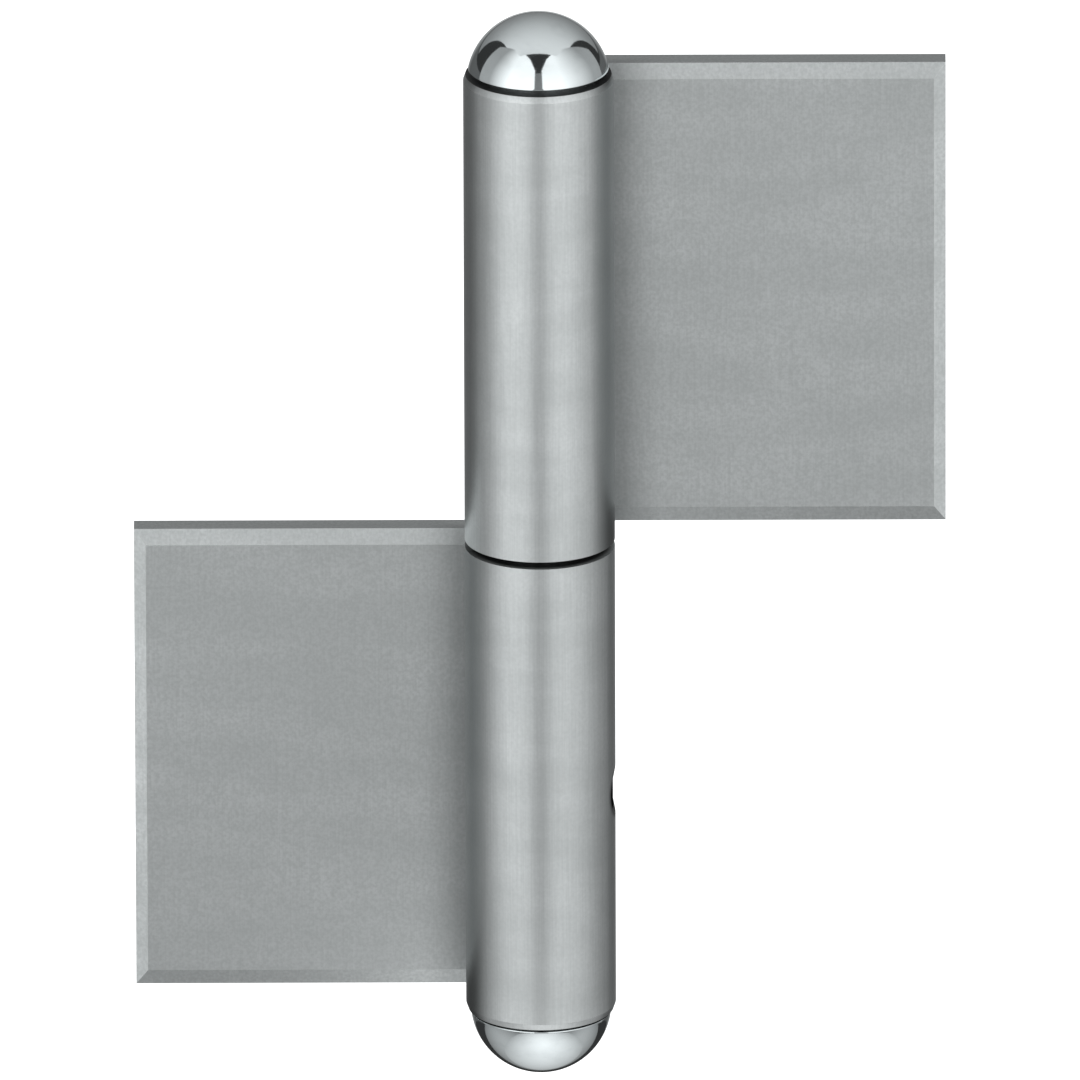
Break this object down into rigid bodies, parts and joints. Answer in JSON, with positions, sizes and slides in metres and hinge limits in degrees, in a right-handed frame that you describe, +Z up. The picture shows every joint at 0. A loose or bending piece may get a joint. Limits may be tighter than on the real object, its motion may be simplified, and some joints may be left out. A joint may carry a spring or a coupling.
{
  "type": "lift-off hinge",
  "caption": "Weld-on lift-off hinge: two rolled flag leaves on a fixed pin, with a thrust ball and domed end knobs; the door half turns and lifts off.",
  "frame": {"origin": "on the hinge axis, halfway between the two knuckles, which is also the centre of the box", "axes": "+Z up along the pin, +X along the door leaf, +Y towards the back of both leaves"},
  "size_m": [0.108, 0.02, 0.1486],
  "materials": {
    "satin_stainless": "satin ground stainless steel",
    "ground_steel": "ground steel with a thin oil film",
    "polished_steel": "mirror polished stainless steel",
    "screw_steel": "dark steel"
  },
  "bodies": {
    "frame_half": {"frame_leaf": "satin_stainless", "hinge_pin": "ground_steel", "bottom_knob": "polished_steel", "set_screw": "screw_steel"},
    "thrust_bearing": {"thrust_ball": "polished_steel"},
    "door_half": {"door_leaf": "satin_stainless", "top_knob": "polished_steel"}
  },
  "joints": [
    {"name": "door_swing", "type": "hinge", "parent": "frame_half", "child": "thrust_bearing", "pos_m": [0, 0, 0.05165], "axis": [0, 0, 1], "continuous": true},
    {"name": "lift_off", "type": "slide", "parent": "thrust_bearing", "child": "door_half", "axis": [0, 0, 1], "range_m": [0, 0.06]}
  ]
}
